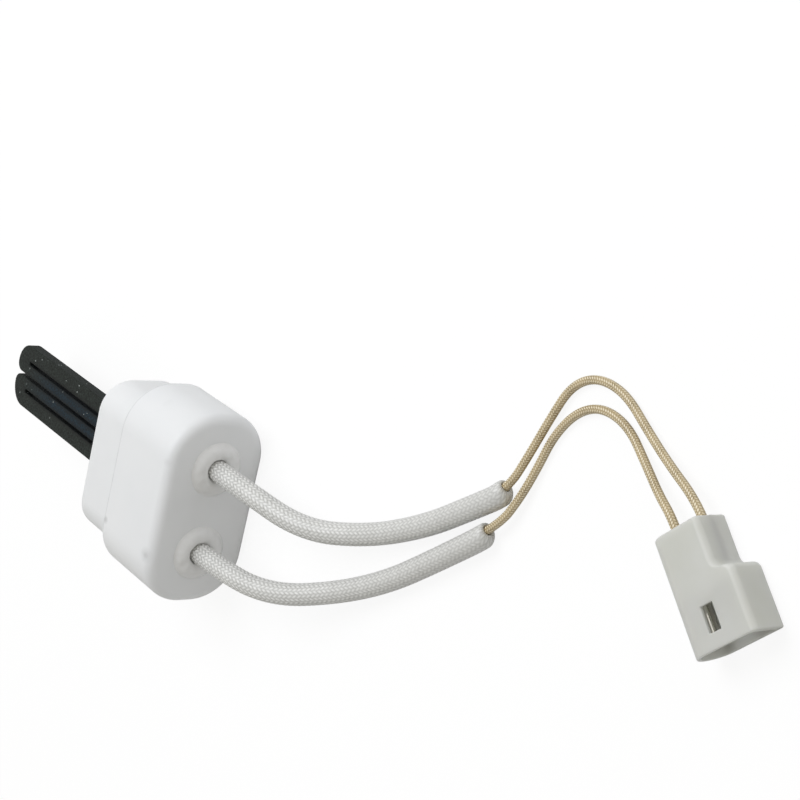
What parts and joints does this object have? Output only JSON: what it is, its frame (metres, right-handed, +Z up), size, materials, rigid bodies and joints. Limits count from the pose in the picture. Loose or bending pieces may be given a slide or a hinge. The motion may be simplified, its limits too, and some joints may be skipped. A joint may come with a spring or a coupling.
{
  "type": "hot surface igniter",
  "caption": "Hot surface igniter: dark slotted silicon carbide element in a white stepped ceramic block, woven sleeves over beige braided leads and a keyed plug with contact pins.",
  "frame": {"origin": "on the floor, under the middle of the bounding box of the block, collars and element as they lie on the far broad side of the block", "axes": "+X from the tip of the element towards the leads, +Y along the long axis of the block towards the upper lead, +Z up through the block's thickness"},
  "size_m": [0.2553, 0.0944, 0.0265],
  "materials": {
    "steatite": "matt, dry pressed, with light grey scuffs",
    "steatite_collar": "satin",
    "silicon_carbide": "gritty, with a faint sparkle",
    "cement": "rough",
    "nylon": "satin, natural and slightly translucent",
    "tinned_contact": "bright tinned",
    "nickel": "satin",
    "lead_braid": "woven glass braid with a varnished sheen",
    "woven_sleeve": "woven glass with bright yarns"
  },
  "bodies": {
    "root": {"ceramic_block": "steatite", "silicon_carbide_element": "silicon_carbide", "front_cement": "cement", "plug_housing": "nylon", "collar_upper": "steatite_collar", "potting_upper": "cement", "end_cap_upper": "nickel", "contact_pin_upper": "tinned_contact", "lead_upper": "lead_braid", "sleeve_upper": "woven_sleeve", "strands_block_upper": "nickel", "strands_plug_upper": "nickel", "collar_lower": "steatite_collar", "potting_lower": "cement", "end_cap_lower": "nickel", "contact_pin_lower": "tinned_contact", "lead_lower": "lead_braid", "sleeve_lower": "woven_sleeve", "strands_block_lower": "nickel", "strands_plug_lower": "nickel"}
  },
  "joints": []
}
